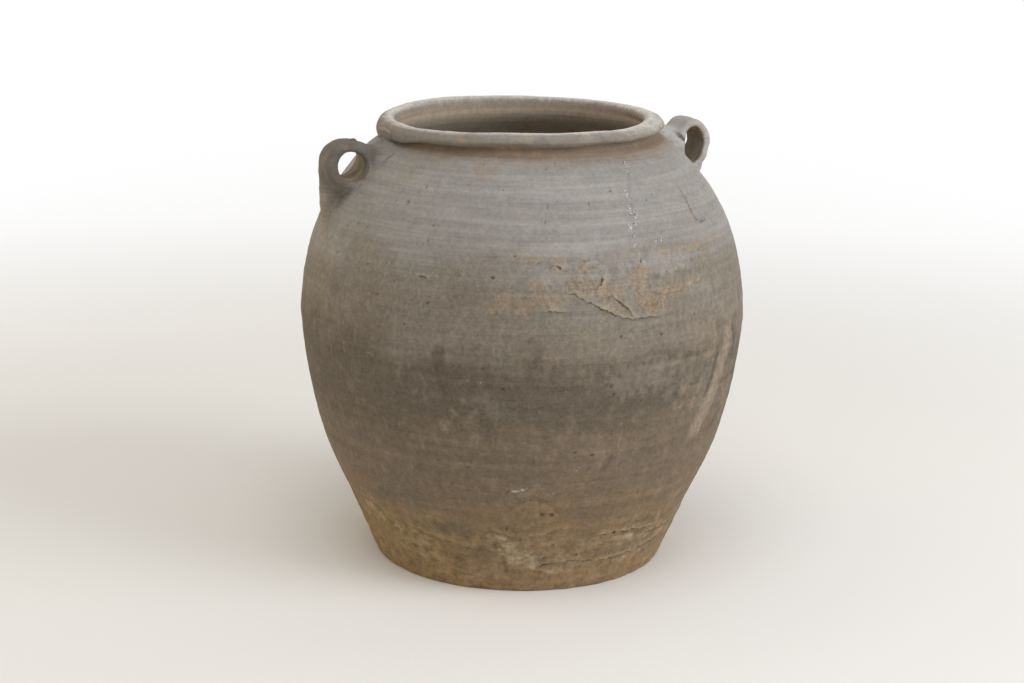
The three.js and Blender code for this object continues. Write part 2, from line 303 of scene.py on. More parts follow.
def spaced(line, step):
    """The line with its points about a step apart; the step is a number or depends on the height."""
    run = np.concatenate([[0], np.cumsum(np.linalg.norm(np.diff(line, axis=0), axis=1))])
    fine = np.linspace(0, run[-1], 4000)
    dense = np.stack([np.interp(fine, run, line[:, 0]), np.interp(fine, run, line[:, 1])], 1)
    stride = step(dense[:, 1]) if callable(step) else np.full(len(dense), float(step))
    count = np.concatenate([[0], np.cumsum(np.diff(fine) / stride[1:])])
    ticks = np.linspace(0, count[-1], max(2, int(math.ceil(count[-1])) + 1))
    return np.stack([np.interp(ticks, count, dense[:, 0]), np.interp(ticks, count, dense[:, 1])], 1)


foot_lean = (np.array(FOOT_SEAM) - (FOOT_RADIUS, 0)) / FOOT_SEAM[1]


def on_foot(height):
    return np.array([FOOT_RADIUS, 0]) + foot_lean * height


lower_line = swell(FOOT_SEAM, LOWER_LEAVE, BELLY, LOWER_ARRIVE)
shoulder_line = swell(BELLY, SHOULDER_LEAVE, SHOULDER_TOP, SHOULDER_ARRIVE)


def below(line, height):
    return line[line[:, 1] < height]


def eased_in(line, handles, radius, top):
    """A curve that leaves the end of a line and turns upright to a radius and a height."""
    way = line[-1] - line[-2]
    way /= np.linalg.norm(way)
    return bezier(line[-1], line[-1] + way * handles[0], (radius, top - handles[1]), (radius, top))


shoulder_start = below(shoulder_line, NECK_EASE)
neck_curve = eased_in(shoulder_start, NECK_HANDLES, NECK_RADIUS, NECK_TOP)
shoulder_side = np.vstack([shoulder_start[:-1], below(neck_curve, NECK_SEAM)])
neck_line = np.vstack([shoulder_side[-1:], neck_curve[neck_curve[:, 1] >= NECK_SEAM]])
lip_line = through([
    (NECK_RADIUS, NECK_TOP - LIP_STEER), (NECK_RADIUS, NECK_TOP), *LIP,
    (BORE_RADIUS, BORE_HEIGHT), (BORE_RADIUS, BORE_HEIGHT - LIP_STEER),
])

# The inside follows the outside at the wall's thickness, and eases into the bore and the floor
wall_line = np.vstack([straight(on_foot(0), FOOT_SEAM)[:-1], lower_line[:-1], shoulder_line])
inner_line = below(wall_line - WALL * square_off(wall_line), BORE_EASE)
inner_line = inner_line[inner_line[:, 1] > FLOOR_TOP + FLOOR_FILLET]
bore_line = eased_in(inner_line, BORE_HANDLES, BORE_RADIUS, BORE_HEIGHT)
floor_corner = (inner_line[0][0] - FLOOR_INSET, FLOOR_TOP)
floor_edge = (inner_line[0][0] - FLOOR_FILLET - FLOOR_INSET, FLOOR_TOP)
floor_curve = bezier(floor_edge, floor_corner, floor_corner, inner_line[0])
inner_wall = np.vstack([floor_curve[:-1], inner_line[:-1], bore_line])


def inner_stretch(top, bottom):
    """The inside face going down from one height to another."""
    heights = inner_wall[:, 1]
    kept = inner_wall[(heights < top) & (heights > bottom)]
    ends = [(np.interp(h, heights, inner_wall[:, 0]), h) for h in (bottom, top)]
    return np.vstack([ends[:1], kept, ends[1:]])[::-1]


def marked_step(height):
    """Rows lie closer together where the skin is scarred."""
    return ROW_STEP - SCAR_CLOSER * ease(np.abs(height - SCAR_HEIGHT), SCAR_FAR, SCAR_NEAR)


def seen_step(height):
    """Rows inside lie closer together where the mouth shows them."""
    return BORE_STEP - SEEN_CLOSER * ease(height, SEEN_FROM, SEEN_FULL)


NECK_INNER = NECK_SEAM - 2
STRETCHES = [
    ("underside", straight((POLE_RADIUS, 0), (FOOT_RADIUS - FOOT_ROUND, 0)), 7),
    ("slab_side", np.vstack([
        bezier((FOOT_RADIUS - FOOT_ROUND, 0), (FOOT_RADIUS, 0), (FOOT_RADIUS, 0), on_foot(FOOT_ROUND)),
        [on_foot(FLOOR_SEAM)],
    ]), 0.8),
    ("foot_side", straight(on_foot(FLOOR_SEAM), FOOT_SEAM), 0.95),
    ("lower_side", lower_line, 1.3),
    ("shoulder_side", shoulder_side, marked_step),
    ("neck_side", neck_line, 0.7),
    ("lip_side", lip_line, 0.75),
    ("neck_bore", inner_stretch(BORE_HEIGHT, NECK_INNER), 1.2),
    ("shoulder_bore", inner_stretch(NECK_INNER, BELLY[1]), seen_step),
    ("lower_bore", inner_stretch(BELLY[1], FOOT_SEAM[1]), 6),
    ("foot_bore", np.vstack([inner_stretch(FOOT_SEAM[1], FLOOR_TOP + 0.01), [floor_edge]]), 4),
    ("floor_face", straight(floor_edge, (POLE_RADIUS, FLOOR_TOP)), 7),
]

rows = []
span = {}
for name, line, step in STRETCHES:
    points = spaced(line, step)
    first = max(len(rows) - 1, 0)
    rows.extend(points if not rows else points[1:])
    span[name] = (first, len(rows) - 1)
profile = np.array(rows)
profile_off = square_off(profile)
outside = np.ones(len(profile))
lip_first, lip_last = span["lip_side"]
crest = lip_first + np.argmax(profile[lip_first:lip_last, 1])
outside[crest:] = 1 - ease(np.arange(len(profile) - crest), 0, lip_last - crest)


def away_from(mark, bearing):
    """Degrees round from a mark, -180 to 180."""
    return (bearing - mark + 180) % 360 - 180


# Columns by bearing, closer together on the marked side
even = np.linspace(0, 360, 3601)
apart = np.abs(away_from(MARKED_SIDE, even))
crowd = np.cumsum(1 + sum(more * ease(apart, far, near) for near, far, more in CROWDS))
crowd = (crowd - crowd[0]) / (crowd[-1] - crowd[0])
bearings = np.interp(np.arange(COLUMNS) / COLUMNS, crowd, even)

# Marks on the wall, found at any points of it: how far noise frays each kind of patch, and how far it
# shakes each kind of rub round the wall and sways it up
UNROLL = 145.0
FAR = 1e3
STEP_HALF, STEP_FADE, SPLIT_FADE = 0.4, 8, 6.0
PIT_SHAKE, PIT_REACH = 0.45, 4
# Where a mark begins and where it is full, as shares of its half width
RUB_EDGE, PATCH_EDGE, PIT_EDGE = (1.7, 0.3), (1.25, 0.55), (1.3, 0.2)
PATCHES = {
    "bare": (BARE_PATCHES, 1), "smoke": (SMOKE_PATCHES, 0.8), "earthy": (FOOT_PATCHES, 1),
    "worn": (WORN_PATCHES, 0.35), "salt": (SALT_PATCHES, 0.9), "rust": (RUST_PATCHES, 1),
    "clear": (CLEAR_PATCHES, 0.8),
}
RUBS = {
    "dark_rub": (DARK_RUBS, 0.5, 0), "brown_rub": (BROWN_RUBS, 0.4, 0), "pale_rub": (PALE_RUBS, 0.5, 0),
    "white_rub": (WHITE_RUBS, 0, 0.2), "salt_run": (SALT_RUN, 0.8, 0),
}


def unrolled(bearing):
    """Millimetres round the wall from the marked side."""
    return np.radians(away_from(MARKED_SIDE, bearing)) * UNROLL


def laid_out(line):
    return [(unrolled(bearing), height) for bearing, height in line]


def beside(line, x, z):
    """Distance from a line of points, and the same with a sign, positive to the left of its run."""
    nearest = signed = np.full(np.shape(x), FAR)
    for (ax, az), (bx, bz) in zip(line, line[1:]):
        dx, dz = bx - ax, bz - az
        share = np.clip(((x - ax) * dx + (z - az) * dz) / (dx * dx + dz * dz), 0, 1)
        gap_x, gap_z = x - ax - share * dx, z - az - share * dz
        gap = np.hypot(gap_x, gap_z)
        closer = gap < nearest
        signed = np.where(closer, gap * np.sign(dx * gap_z - dz * gap_x), signed)
        nearest = np.where(closer, gap, nearest)
    return nearest, signed


def rubbed(lines, around, height):
    """How strongly rubbed lines show, 0 to 1."""
    shown = np.zeros(np.shape(around))
    for line, half_width, strength in lines:
        gap, _ = beside(laid_out(line), around, height)
        shown = np.maximum(shown, strength * ease(gap, *(edge * half_width for edge in RUB_EDGE)))
    return shown


def patched(patches, around, height, ragged):
    """How strongly ragged patches show, 0 to 1."""
    half_round = math.pi * UNROLL
    shown = np.zeros(np.shape(around))
    for bearing, level, half_width, half_height, strength in patches:
        away_x = (around - unrolled(bearing) + half_round) % (2 * half_round) - half_round
        away = np.hypot(away_x / half_width, (height - level) / half_height)
        shown = np.maximum(shown, strength * ease(away + ragged, *PATCH_EDGE))
    return shown


def pitted(around, height):
    """How deep small pits are, 0 to 1, from the placed ones and a fixed draw of loose ones."""
    draw = np.random.RandomState(41)
    loose = zip(*(draw.uniform(low, high, LOOSE_PITS) for low, high in LOOSE_RANGES))
    shown = np.zeros(np.shape(around))
    for bearing, level, radius in [*PLACED_PITS, *loose]:
        away_x, away_z = around - unrolled(bearing), height - level
        close = (np.abs(away_z) < PIT_REACH) & (np.abs(away_x) < PIT_REACH)
        stretch = 1 + 0.5 * math.sin(7 * bearing)
        gap = np.hypot(away_x[close] / stretch, away_z[close])
        shown[close] = np.maximum(shown[close], ease(gap, *(edge * radius for edge in PIT_EDGE)))
    return shown


def marks_at(bearing, height, base):
    """All marks of the outside at points of the wall."""
    around, level = unrolled(bearing), height + 0 * bearing
    shake, sway = (0.9 * noise(base / 4.2, seed) + 0.45 * noise(base / 1.6, seed + 1) for seed in (11, 13))
    ragged = 0.45 * noise(base / 7, 15) + 0.3 * noise(base / 2.6, 16)
    split = np.full(np.shape(around), SPLIT_FADE)
    proud, rim = np.zeros((2, *np.shape(around)))
    for lines, torn in ((STEPS, False), (SPLITS, True)):
        for line, rise in lines:
            gap, above = beside(laid_out(line), around + shake, level + sway)
            proud += rise * ease(above, -STEP_HALF, STEP_HALF) * ease(gap, STEP_FADE, 0)
            if torn:
                split = np.minimum(split, gap)
                rim = np.maximum(rim, ease(above, 0.3, 0.9) * ease(above, 2.6, 1.0))
    found = {"split": split, "rim": rim, "proud": proud}
    for field, (patches, frayed) in PATCHES.items():
        found[field] = patched(patches, around, level, frayed * ragged)
    for field, (lines, shaken, swayed) in RUBS.items():
        found[field] = rubbed(lines, around + shaken * shake, level + swayed * sway)
    found["pit"] = pitted(around + PIT_SHAKE * shake, level + PIT_SHAKE * sway)
    return found


# The hand-made surface: how far it stands off the turned form, in millimetres
RING_RUN = 160


def turning(base, rise, seed):
    """Noise that runs round the jar in rings."""
    return noise(base * np.array([1 / RING_RUN, 1 / RING_RUN, 1 / rise]), seed)


def outer_relief(base, marks):
    height = base[..., 2]
    foot = ease(height + 5 * noise(base / 18, 21), 58, 42)
    skin = 0.28 * noise(base / 75, 22) + 0.12 * noise(base / 24, 23) + 0.035 * noise(base / 5, 24)
    rings = 0.15 * turning(base, 11, 25) + 0.09 * turning(base, 3.4, 26)
    rough = 0.34 * noise(base / 9, 27) + 0.16 * noise(base / 3.4, 28)
    spread = 0.2 * ease(height, 70, 45)
    scarred = marks["bare"] * ease(height, 186, 192) * ease(height, 234, 226)
    scar = (0.18 * noise(base / 4.5, 29) + 0.20 * noise(base / 1.7, 30) - 0.15) * scarred
    worn = (0.25 * noise(base / 5, 31) + 0.12 * noise(base / 2.2, 32) - 0.3) * marks["worn"]
    crumbs = 0.25 * noise(base / 3.2, 33) * marks["earthy"]
    grooves = -0.25 * marks["pale_rub"] - 0.2 * marks["brown_rub"] - 0.06 * marks["salt_run"]
    crust = (0.2 + 0.3 * noise(base / 1.5, 34)) * marks["salt"]
    cracks = -0.35 * ease(marks["split"] + 0.35 * noise(base / 5, 35), 0.7, 0.05)
    pits = -0.75 * marks["pit"]
    shaped = skin + rings * (1 - 0.6 * foot) + rough * foot + spread
    return shaped + scar + worn + crumbs + grooves + crust + cracks + pits + marks["proud"]


def inner_relief(base):
    return 0.2 * turning(base, 11, 51) + 0.1 * turning(base, 5, 52) + 0.2 * noise(base / 40, 53)


def lip_relief(base):
    return 0.26 * noise(base / 34, 61) + 0.16 * noise(base / 11, 62) + 0.06 * noise(base / 3.5, 63)


def leant(points):
    """Where the lean carries points: nowhere up to the lean height, the whole way from the neck up."""
    share = ease(points[..., 2], LEAN_HEIGHT, SHOULDER_TOP[1])
    moved = points.copy()
    moved[..., 0] -= share * MOUTH_SHIFT
    moved[..., 2] += share * MOUTH_TILT * points[..., 0]
    return moved


def upright(points):
    """The lean taken off again, in rounds that come closer and closer."""
    plain = points.copy()
    for _ in range(LEAN_ROUNDS):
        share = ease(plain[..., 2], LEAN_HEIGHT, SHOULDER_TOP[1])
        plain[..., 0] = points[..., 0] + share * MOUTH_SHIFT
        plain[..., 2] = points[..., 2] - share * MOUTH_TILT * plain[..., 0]
    return plain


# The whole skin as one grid of rows and columns, cut into its pieces afterwards
UNDER_ROWS, UNDER_ROUGH = 3, 0.25
# How far the painted shade of the skin's hollows reaches, in rows and columns, and the depth at which it is
# full
HOLLOW_ROWS, HOLLOW_COLUMNS, HOLLOW_DEPTH = 4, 5, 0.35
turn = np.radians(bearings)[None, :]
around_axis = np.stack([np.cos(turn), np.sin(turn), np.zeros_like(turn)], -1)
upward = np.array([0, 0, 1.0])
base = profile[:, 0, None, None] * around_axis + profile[:, 1, None, None] * upward
off = profile_off[:, 0, None, None] * around_axis + profile_off[:, 1, None, None] * upward
on_outside = outside[:, None] + 0 * base[..., 2]
marks = marks_at(bearings[None, :] + 0 * base[..., 2], base[..., 2], base)
for field in marks:
    if field != "split":
        marks[field] = marks[field] * on_outside
marks["inside"] = 1 - on_outside

# The lip sags and thickens towards the left lug, and its lower edge is uneven
lip_edge = ease(profile[:, 0], NECK_RADIUS + 0.4, EDGE_RADIUS) * ease(profile[:, 1], EDGE_TOP, EDGE_LOW)
lip_edge[:lip_first] = 0
lip_edge[crest:] = 0
sagging = ease(np.abs(bearings - LIP_SAG_BEARING), LIP_SAG_REACH, LIP_SAG_FULL)[None, :]
base[..., 2] -= lip_edge[:, None] * (LIP_SAG * sagging + EDGE_UNEVEN * noise(base / 20, 64))
row_number = np.arange(len(profile))
on_lip = ease(np.minimum(row_number - lip_first, lip_last - row_number), 0, 12)[:, None]


def near_bearing(bearing, reach):
    """1 at a bearing, falling to 0 at its reach."""
    return ease(np.abs(away_from(bearing, bearings)), reach, 0)


wave = sum(rise * near_bearing(bearing, reach) for bearing, rise, reach in LIP_WAVES)
base[..., 2] += on_lip * wave[None, :]
# The lip's own bands, counted in rows from its crest and its ends
inward = ease(row_number, crest - 2, crest + 5) * ease(row_number, lip_last, lip_last - 6)
thicker = LIP_THICK * inward[:, None] * near_bearing(THICK_BEARING, THICK_REACH)[None, :]
base -= thicker[..., None] * around_axis
# The lip's crest all round and its right end are painted pale: partly wear, partly painted highlight
worn_and_lit_end = ease(row_number, lip_first + 5, crest - 5) * ease(row_number, lip_last, crest + 4)
worn_and_lit_end = FAIR_SHARE * worn_and_lit_end[:, None] * near_bearing(FAIR_BEARING, FAIR_REACH)[None, :]
from_crest = np.abs(row_number - crest)
worn_and_lit_top = np.maximum(ease(from_crest, 4, 0.5), 0.7 * ease(from_crest, 10, 2))
marks["crest"] = np.maximum(worn_and_lit_top[:, None], worn_and_lit_end) + 0 * on_outside
under = ease(row_number, span["slab_side"][0] + UNDER_ROWS, span["slab_side"][0])[:, None]
relief = outer_relief(base, marks) * on_outside * (1 - on_lip) + inner_relief(base) * (1 - on_outside)
relief = (relief + lip_relief(base) * on_lip) * (1 - under)
relief -= UNDER_ROUGH * under * (1 + noise(base / 12, 71))
skin = base + relief[..., None] * off
reach = np.hypot(skin[..., 0], skin[..., 1])
skin[..., :2] *= np.minimum(1, BELLY[0] / np.maximum(reach, 1e-6))[..., None]
skin[..., 2] = np.maximum(skin[..., 2], 0)
skin = leant(skin)
skin[..., 2] = np.minimum(skin[..., 2], cad_box[1].z / MM)
round_way = np.roll(skin, -1, axis=1) - np.roll(skin, 1, axis=1)
skin_off = np.cross(round_way, np.gradient(skin, axis=0))
skin_off /= np.linalg.norm(skin_off, axis=-1)[..., None]


def blurred(grid, reach_rows, reach_columns):
    total = np.zeros_like(grid)
    for shift in range(-reach_columns, reach_columns + 1):
        total += np.roll(grid, shift, axis=1)
    total /= 2 * reach_columns + 1
    padded = np.pad(total, ((reach_rows, reach_rows), (0, 0)), mode="edge")
    stack = [padded[k:k + len(grid)] for k in range(2 * reach_rows + 1)]
    return sum(stack) / len(stack)


# Painted shade: where the skin lies below its blurred self, in its hollows and cracks, the clay is darkened
marks["hollow_shade"] = np.clip((blurred(relief, HOLLOW_ROWS, HOLLOW_COLUMNS) - relief) / HOLLOW_DEPTH, -1, 1)


def stood(name, data):
    """An object in the scene that holds a mesh, a lamp or a camera."""
    holder = bpy.data.objects.new(name, data)
    bpy.context.scene.collection.objects.link(holder)
    return holder


def add_mesh(name, points, faces, fields, loop_normals=None):
    """A smooth mesh object from points in millimetres, groups of equal-sided faces and point fields."""
    mesh = bpy.data.meshes.new(name)
    corners = np.concatenate([np.asarray(group).ravel() for group in faces])
    sides = np.concatenate([np.full(len(group), np.shape(group)[1]) for group in faces])
    mesh.vertices.add(len(points))
    mesh.vertices.foreach_set("co", (np.asarray(points) * MM).ravel())
    mesh.loops.add(len(corners))
    mesh.loops.foreach_set("vertex_index", corners.astype(np.int32))
    mesh.polygons.add(len(sides))
    mesh.polygons.foreach_set("loop_start", np.concatenate([[0], np.cumsum(sides)[:-1]]).astype(np.int32))
    mesh.update(calc_edges=True)
    mesh.validate()
    mesh.polygons.foreach_set("use_smooth", np.ones(len(sides), bool))
    for field, values in fields.items():
        layer = mesh.attributes.new(field, "FLOAT", "POINT")
        layer.data.foreach_set("value", values.ravel().astype(np.float32))
    if loop_normals is not None:
        mesh.normals_split_custom_set(loop_normals.tolist())
    return stood(name, mesh)


def turned_piece(name, stretches, open_poles=False):
    """A closed piece of the skin from stretches of its rows; seams between them are flat rings."""
    row_list = []
    seamless = []
    for first, last in stretches:
        seamless.extend([bool(k) for k in range(last - first + 1)])
        row_list.extend(range(first, last + 1))
    points = skin[row_list].reshape(-1, 3)
    normals = skin_off[row_list].reshape(-1, 3)
    count = len(row_list)
    lower = np.arange(count if not open_poles else count - 1)
    upper = (lower + 1) % count
    left = np.arange(COLUMNS)
    right = (left + 1) % COLUMNS
    corners = ((lower, left), (lower, right), (upper, right), (upper, left))
    quads = np.stack([row[:, None] * COLUMNS + column[None, :] for row, column in corners], -1)
    quads = quads.reshape(-1, 4)
    smooth = np.repeat(np.array(seamless)[upper], COLUMNS)
    faces = [quads]
    fields = {field: values[row_list] for field, values in marks.items()}
    loop_normals = np.where(np.repeat(smooth, 4)[:, None], normals[quads.ravel()], 0)
    if open_poles:
        poles = np.array([points[:COLUMNS].mean(0), points[-COLUMNS:].mean(0)])
        bottom = np.stack([np.full(COLUMNS, len(points)), right, left], -1)
        last = len(points) - COLUMNS
        top = np.stack([np.full(COLUMNS, len(points) + 1), last + left, last + right], -1)
        faces += [bottom, top]
        points = np.vstack([points, poles])
        loop_normals = np.vstack([loop_normals, np.zeros((6 * COLUMNS, 3))])
        fields = {field: np.append(values.ravel(), [0, 0]) for field, values in fields.items()}
    return add_mesh(name, points, faces, fields, loop_normals)


pieces = {
    "base_slab": turned_piece(
        "floor_slab", [(span["underside"][0], span["slab_side"][1]), span["floor_face"]], True
    ),
    "foot_wall": turned_piece("foot_ring", [span["foot_side"], span["foot_bore"]]),
    "lower_wall": turned_piece("lower_ring", [span["lower_side"], span["lower_bore"]]),
    "shoulder_wall": turned_piece("shoulder_ring", [span["shoulder_side"], span["shoulder_bore"]]),
    "neck_collar": turned_piece("neck_ring", [span["neck_side"], span["neck_bore"]]),
    "rim_roll": turned_piece("rolled_lip", [span["lip_side"]]),
}


# Lugs: lumps of clay pressed together and smeared onto the wall, found as distances on a fine grid
LUG_PITCH = 0.65
SMEAR = 5.0
TUCK = 0.9
FEATHER = 0.12
LUG_MARGIN = 9
STANDING = 7
RELIEF_REACH = 6
LEFT_BEARING, RIGHT_BEARING = 180.0, 5.5
LEFT_EYE, RIGHT_EYE = (9.0, 9.3), (7.4, 11.8)
LEFT_LIFT = 0.7


def soft_join(a, b, width):
    share = np.clip(0.5 + 0.5 * (b - a) / width, 0, 1)
    return b * (1 - share) + a * share - width * share * (1 - share)


def strap_ring(out, across, up, eye, half_width, thickness, edge):
    """A flat strap bent round an oval eye; its thickness is given at the top and at the outside."""
    scaled = np.hypot(out / eye[0], up / eye[1])
    length = np.hypot(out, up)
    beyond = length * (1 - 1 / np.maximum(scaled, 1e-3))
    outward = np.clip(out / np.maximum(length, 1e-3), 0, 1)
    deep = thickness[0] + (thickness[1] - thickness[0]) * outward
    q_deep = np.abs(beyond - deep / 2) - deep / 2 + edge
    q_wide = np.abs(across) - half_width + edge
    rounded = np.hypot(np.maximum(q_deep, 0), np.maximum(q_wide, 0))
    return rounded + np.minimum(np.maximum(q_deep, q_wide), 0) - edge, beyond


def limb(spot, stations):
    """A tapering run of clay through stations of out, across, up, half thickness and half width."""
    out, across, up = spot
    nearest = np.full(np.shape(out), FAR)
    for a, b in zip(stations, stations[1:]):
        a, b = np.array(a, float), np.array(b, float)
        way = b[:3] - a[:3]
        share = ((out - a[0]) * way[0] + (up - a[2]) * way[2]) / (way[0]**2 + way[2]**2)
        share = np.clip(share, 0, 1)
        thick, wide = a[3] + share * (b[3] - a[3]), a[4] + share * (b[4] - a[4])
        in_plane = np.hypot(out - a[0] - share * way[0], up - a[2] - share * way[2])
        sideways = across - a[1] - share * way[1]
        scaled = np.hypot(in_plane / thick, sideways / wide)
        nearest = np.minimum(nearest, (scaled - 1) * np.minimum(thick, wide))
    return nearest


def lump(spot, centre, radii):
    scaled = np.sqrt(sum(((v - c) / r)**2 for v, c, r in zip(spot, centre, radii)))
    return (scaled - 1) * min(radii)


def pierced(clay, out, up, eye):
    """The clay with an oval eye cut through it."""
    return np.maximum(clay, (1 - np.hypot(out / eye[0], up / eye[1])) * eye[0])


# Signed distance from the wall's outline, looked up from a fine sheet of radius and height
OUTLINE_STEP = 0.5
outline = profile[span["lower_side"][0]:crest + 1:2]
outline_radii = np.arange(70, 156, OUTLINE_STEP)
outline_heights = np.arange(205, 304, OUTLINE_STEP)
wall_sheet = -beside(outline, *np.meshgrid(outline_radii, outline_heights, indexing="ij"))[1]


def off_wall(points):
    """Distance off the hand-made wall at points in the leant frame."""
    plain = upright(points)
    radius = np.hypot(plain[..., 0], plain[..., 1])
    i = np.clip((radius - outline_radii[0]) / OUTLINE_STEP, 0, len(outline_radii) - 2.001)
    j = np.clip((plain[..., 2] - outline_heights[0]) / OUTLINE_STEP, 0, len(outline_heights) - 2.001)
    i0, j0 = i.astype(int), j.astype(int)
    fi, fj = i - i0, j - j0
    near = wall_sheet[i0, j0] * (1 - fj) + wall_sheet[i0, j0 + 1] * fj
    far = wall_sheet[i0 + 1, j0] * (1 - fj) + wall_sheet[i0 + 1, j0 + 1] * fj
    flat = near * (1 - fi) + far * fi
    bearing = np.degrees(np.arctan2(plain[..., 1], plain[..., 0])) % 360
    close = np.abs(flat) < RELIEF_REACH
    on_wall = plain[close]
    on_wall[:, :2] *= (np.interp(on_wall[:, 2], outline[:, 1], outline[:, 0]) / radius[close])[:, None]
    flat[close] -= outer_relief(on_wall, marks_at(bearing[close], on_wall[:, 2], on_wall))
    return flat


def skinned(field, corner, pitch):
    """Points and quads round the parts of a grid where the field is below zero."""
    cells = np.array(field.shape) - 1
    total = np.zeros((*cells, 3))
    hits = np.zeros(cells)

    def window(offset):
        return field[tuple(slice(o, o + c) for o, c in zip(offset, cells))]

    for axis in range(3):
        for pair in itertools.product((0, 1), repeat=2):
            start = np.insert(np.array(pair), axis, 0)
            end = np.insert(np.array(pair), axis, 1)
            low, high = window(start), window(end)
            crossed = (low < 0) != (high < 0)
            share = np.where(crossed, low / np.where(crossed, low - high, 1), 0)
            for k in range(3):
                total[..., k] += np.where(crossed, share if k == axis else start[k], 0)
            hits += crossed
    live = hits > 0
    number = np.full(cells, -1)
    number[live] = np.arange(live.sum())
    points = corner + pitch * (np.argwhere(live) + total[live] / hits[live][:, None])
    quads = []
    for axis in range(3):
        first, second = (axis + 1) % 3, (axis + 2) % 3
        low = np.take(field, range(field.shape[axis] - 1), axis) < 0
        high = np.take(field, range(1, field.shape[axis]), axis) < 0
        for inside, order in (((low & ~high), 1), ((~low & high), -1)):
            place = np.argwhere(inside)
            ring = []
            for back_first, back_second in ((1, 1), (0, 1), (0, 0), (1, 0)):
                cell = place.copy()
                cell[:, first] -= back_first
                cell[:, second] -= back_second
                ring.append(number[cell[:, 0], cell[:, 1], cell[:, 2]])
            quads.append(np.stack(ring[::order], -1))
    return points, np.vstack(quads)


def lug(name, node, bearing, eye_point, shape):
    """A lug set out round its eye: out from the jar, across and up."""
    low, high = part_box(node)
    low, high = np.array(low) / MM - LUG_MARGIN, np.array(high) / MM + LUG_MARGIN
    axes = [np.arange(a, b, LUG_PITCH) for a, b in zip(low, high)]
    points = np.stack(np.meshgrid(*axes, indexing="ij"), -1)
    turn = math.radians(bearing)
    away = points - np.array(eye_point)
    out = away[..., 0] * math.cos(turn) + away[..., 1] * math.sin(turn)
    across = away[..., 1] * math.cos(turn) - away[..., 0] * math.sin(turn)
    up = away[..., 2]
    clay, lining = shape(out, across, up)
    clay += 0.3 * noise(points / 10, 81) + 0.12 * noise(points / 3.5, 82)
    wall = off_wall(points)
    smeared = soft_join(clay, wall + FEATHER, SMEAR)
    field = np.maximum(np.maximum(smeared, -wall - TUCK), clay - SMEAR)
    field[[0, -1]] = field[:, [0, -1]] = field[:, :, [0, -1]] = 1.0
    vertices, quads = skinned(field, low, LUG_PITCH)
    spot = tuple(np.clip(np.rint((vertices - low) / LUG_PITCH).astype(int), 0, np.array(field.shape) - 1).T)
    fields = {
        "standing": np.clip(wall[spot] / STANDING, 0, 1),
        "lining": ease(lining[spot], 3.2, 0.4) * ease(np.abs(across[spot]), 15, 10),
        # Painted shade along the edge of the eye
        "eye_brim_shade": ease(lining[spot], 1.8, 0.6) * ease(np.abs(across[spot]), 8.8, 11.2),
    }
    return add_mesh(name, vertices, [quads], fields)


def left_shape(out, across, up):
    """A wide round ring, its arm smeared up to the neck and its tail drawn down to a point."""
    spot = out, across, up
    eye_out, eye_up = out - (-1.0 + 0.12 * np.minimum(across, 4)), up - LEFT_LIFT
    ring, beyond = strap_ring(eye_out, across, eye_up, LEFT_EYE, 13.3, (5.6, 8.4), 3.6)
    tail = limb(spot, [
        (8.2, -1.8, -7, 8.4, 10.2), (10.0, -3.6, -15, 7.0, 6.2),
        (11.0, -4.6, -25, 5.1, 4.0), (13.2, -6.4, -40, 1.2, 1.6),
    ])
    web = limb(spot, [
        (-6, -6.0, -8, 3.4, 7.4), (3, -6.6, -16, 3.8, 4.8),
        (8.5, -6.2, -27, 3.0, 3.0), (13, -6.4, -41, 0.8, 1.5),
    ])
    arm = limb(spot, [
        (-2, 0, 11.0, 3.8, 12.0), (-10, 0.5, 9.6, 4.2, 13.0),
        (-18, 2, 7.4, 4.4, 16.0), (-27, 0, 9.2, 4.0, 14),
    ])
    root = lump(spot, (-18, 3, 2.0), (9, 17, 6.0))
    climb = lump(spot, (-28.5, 0, 13.5), (4, 10, 4.5))
    nub = lump(spot, (-4.5, 1.5, 15.7), (2.4, 2.4, 1.6))
    clay = soft_join(soft_join(ring, tail, 5), web, 5)
    clay = soft_join(soft_join(clay, arm, 4), root, 6)
    clay = soft_join(soft_join(clay, climb, 4), nub, 1.0)
    return pierced(clay, eye_out, eye_up, LEFT_EYE), beyond


def right_shape(out, across, up):
    """A tall narrow ring whose near side is smeared from the neck in one slanting plane, with a groove."""
    spot = out, across, up
    pinched = (out - 0.05 * across) / (1 - 0.02 * np.clip(-up, 0, 14))
    ring, beyond = strap_ring(pinched, across, up, RIGHT_EYE, 12.6, (5.8, 7.2), 3.2)
    tail = limb(spot, [
        (7.5, 0, -8, 5.4, 12), (6.5, 0, -18, 4.6, 9), (7.5, 0, -28, 2.6, 4), (9.6, 0, -36, 0.8, 1.5),
    ])
    web = limb(spot, [(-5, 1, -11, 4.0, 8.5), (2, 1, -20, 4.2, 6.0), (7, 0.5, -30, 2.6, 3.6)])
    root = lump(spot, (-18, 0, 2.0), (13, 16, 11))
    climb = lump(spot, (-28, -1, 9.5), (7, 12, 5.5))
    groove = limb(spot, [
        (-25, -14, 15.6, 1.5, 3.2), (-16.7, -12.5, 9.9, 1.9, 3.2), (-9.5, -13, 3.8, 1.2, 2.7),
    ])
    clay = soft_join(soft_join(ring, tail, 4), web, 5)
    clay = soft_join(soft_join(clay, root, 5), climb, 4)
    clay = -soft_join(-clay, groove, 1.5)
    return pierced(clay, pinched, up, RIGHT_EYE), beyond


def eye_centre(opening, bearing):
    """The middle of a lug's eye, from the cord's opening, on the line through the jar's leaning axis."""
    box = next(o["box_m"] for o in frame["record"]["physics"]["openings"] if o["name"] == opening)
    x, _, z = (np.array(box[0]) + np.array(box[1])) / 2 / MM
    share = ease(z, LEAN_HEIGHT, SHOULDER_TOP[1])
    return x, (x + share * MOUTH_SHIFT) * math.tan(math.radians(bearing)), z


